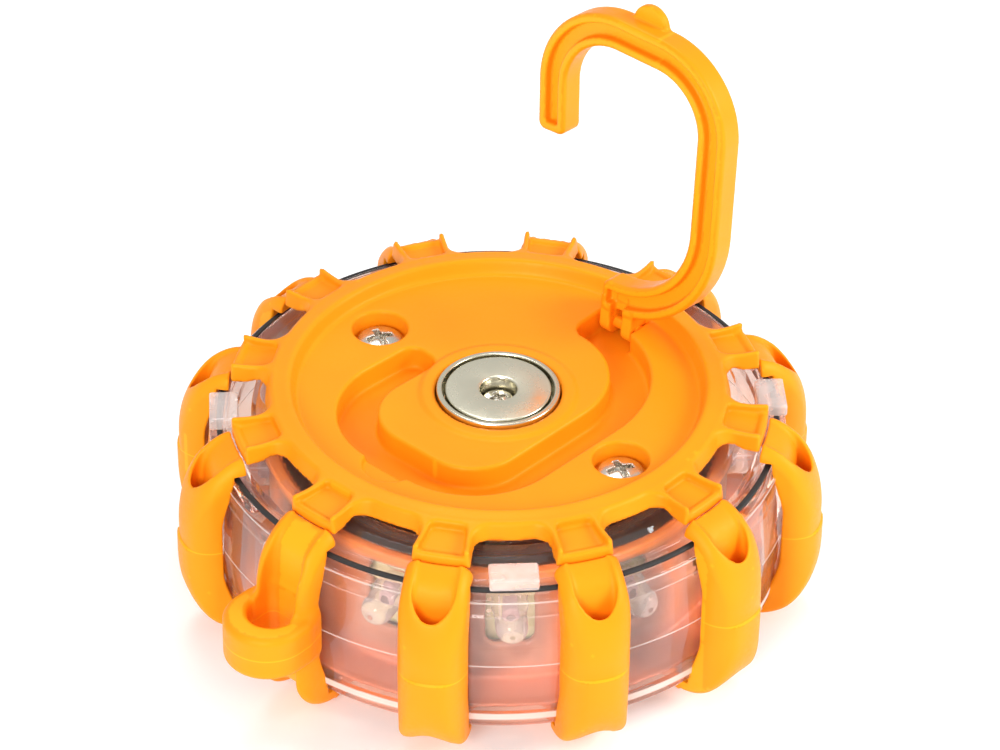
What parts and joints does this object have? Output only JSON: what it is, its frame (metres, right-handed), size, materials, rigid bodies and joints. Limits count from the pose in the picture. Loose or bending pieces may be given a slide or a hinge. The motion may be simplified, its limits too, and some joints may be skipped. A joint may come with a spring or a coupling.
{
  "type": "led safety flare",
  "caption": "Round clear warning lamp with soft orange bumper posts, a magnet on its back, a fold-out hook, a lanyard loop and a push button",
  "frame": {"origin": "on the lamp's axis, in the plane its front face rests on", "axes": "+Z out of the back with the magnet and the hook, -Z out of the front, -Y towards the window between the posts at 255 and 285 degrees"},
  "size_m": [0.1012, 0.1012, 0.0897],
  "materials": {
    "cover_orange": "satin moulded plastic",
    "bumper_orange": "soft satin moulding",
    "hook_orange": "satin moulded plastic",
    "clear_shell": "polished clear moulding",
    "cup_nickel": "bright nickel plate",
    "magnet_nickel": "bright nickel plate",
    "screw_steel": "nickel-plated screw",
    "black_rubber": "matt rubber",
    "black_plastic": "matt moulding",
    "green_board": "solder-mask board",
    "salmon_plastic": "satin moulding",
    "lamp_lens": "clear lens",
    "battery_sleeve": "printed sleeve",
    "contact_steel": "plated spring steel",
    "switch_metal": "tin-plated can"
  },
  "bodies": {
    "lamp": {"back_cover": "cover_orange", "battery_01": "battery_sleeve", "battery_02": "battery_sleeve", "battery_03": "battery_sleeve", "battery_tray": "black_plastic", "bezel_screw_01": "screw_steel", "bezel_screw_02": "screw_steel", "bezel_screw_03": "screw_steel", "bumper_post_01": "bumper_orange", "bumper_post_02": "bumper_orange", "bumper_post_03": "bumper_orange", "bumper_post_04": "bumper_orange", "bumper_post_05": "bumper_orange", "bumper_post_06": "bumper_orange", "bumper_post_07": "bumper_orange", "bumper_post_09": "bumper_orange", "bumper_post_10": "bumper_orange", "bumper_post_11": "bumper_orange", "bumper_post_12": "bumper_orange", "button_seal": "black_rubber", "clear_body": "clear_shell", "clear_cap": "clear_shell", "contact_plate_01": "contact_steel", "contact_plate_02": "contact_steel", "contact_spring_01": "contact_steel", "contact_spring_02": "contact_steel", "contact_spring_03": "contact_steel", "cover_screw_01": "screw_steel", "cover_screw_02": "screw_steel", "front_bezel": "cover_orange", "front_lamp_01": "lamp_lens", "front_lamp_02": "lamp_lens", "front_lamp_03": "lamp_lens", "hook_pin": "hook_orange", "lamp_strip": "green_board", "lanyard_post": "bumper_orange", "magnet": "magnet_nickel", "magnet_cup": "cup_nickel", "magnet_screw": "screw_steel", "main_board": "green_board", "reflector_ring": "salmon_plastic", "seal_ring": "black_rubber", "side_lamp_01": "lamp_lens", "side_lamp_02": "lamp_lens", "side_lamp_03": "lamp_lens", "side_lamp_04": "lamp_lens", "side_lamp_05": "lamp_lens", "side_lamp_06": "lamp_lens", "side_lamp_07": "lamp_lens", "side_lamp_08": "lamp_lens", "side_lamp_09": "lamp_lens", "side_lamp_10": "lamp_lens", "side_lamp_11": "lamp_lens", "side_lamp_12": "lamp_lens", "tact_switch": "switch_metal"},
    "hook": {"hook": "hook_orange"},
    "button": {"push_button": "hook_orange", "switch_plunger": "black_rubber"}
  },
  "joints": [
    {"name": "hook_hinge", "type": "hinge", "parent": "lamp", "child": "hook", "pos_m": [0.02015, 0.02015, 0.0335], "axis": [-0.7071, 0.7071, 0], "range_deg": [-95, 5]},
    {"name": "button_press", "type": "slide", "parent": "lamp", "child": "button", "axis": [0, 0, 1], "range_m": [0, 0.0008], "stiffness_N_per_m": 2500, "springref_m": -0.0004}
  ]
}
